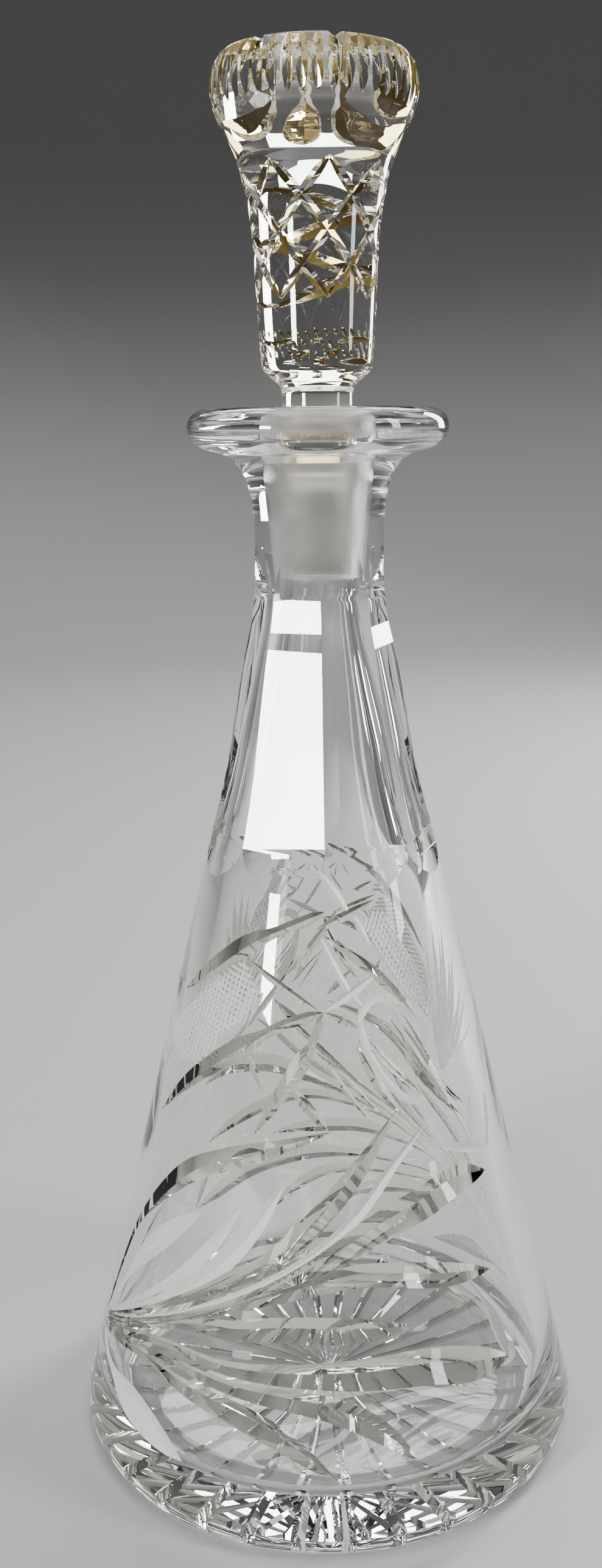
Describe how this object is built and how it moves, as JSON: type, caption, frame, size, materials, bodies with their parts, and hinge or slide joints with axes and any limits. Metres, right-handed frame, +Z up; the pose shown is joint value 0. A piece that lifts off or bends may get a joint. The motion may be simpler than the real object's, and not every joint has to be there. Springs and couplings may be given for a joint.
{
  "type": "decanter",
  "caption": "Tapering cut-glass decanter with a thick star-cut base, fluted neck, rounded flat lip and a lift-out ground stopper with a flared, grooved head",
  "frame": {"origin": "centre of the foot, on the surface the decanter stands on", "axes": "+Z up along the axis of the bottle and stopper, -Y the front of the cut flower pattern, +X to the right of it"},
  "size_m": [0.1308, 0.1308, 0.3456],
  "materials": {
    "clear_glass": "polished clear lead glass with matte and polished wheel cuts",
    "stopper_glass": "polished clear lead glass with polished cuts and a ground peg"
  },
  "bodies": {
    "bottle": {"decanter_body": "clear_glass"},
    "stopper": {"stopper": "stopper_glass"}
  },
  "joints": [
    {"name": "stopper_lift", "type": "slide", "parent": "bottle", "child": "stopper", "axis": [0, 0, 1], "range_m": [0, 0.08]}
  ]
}
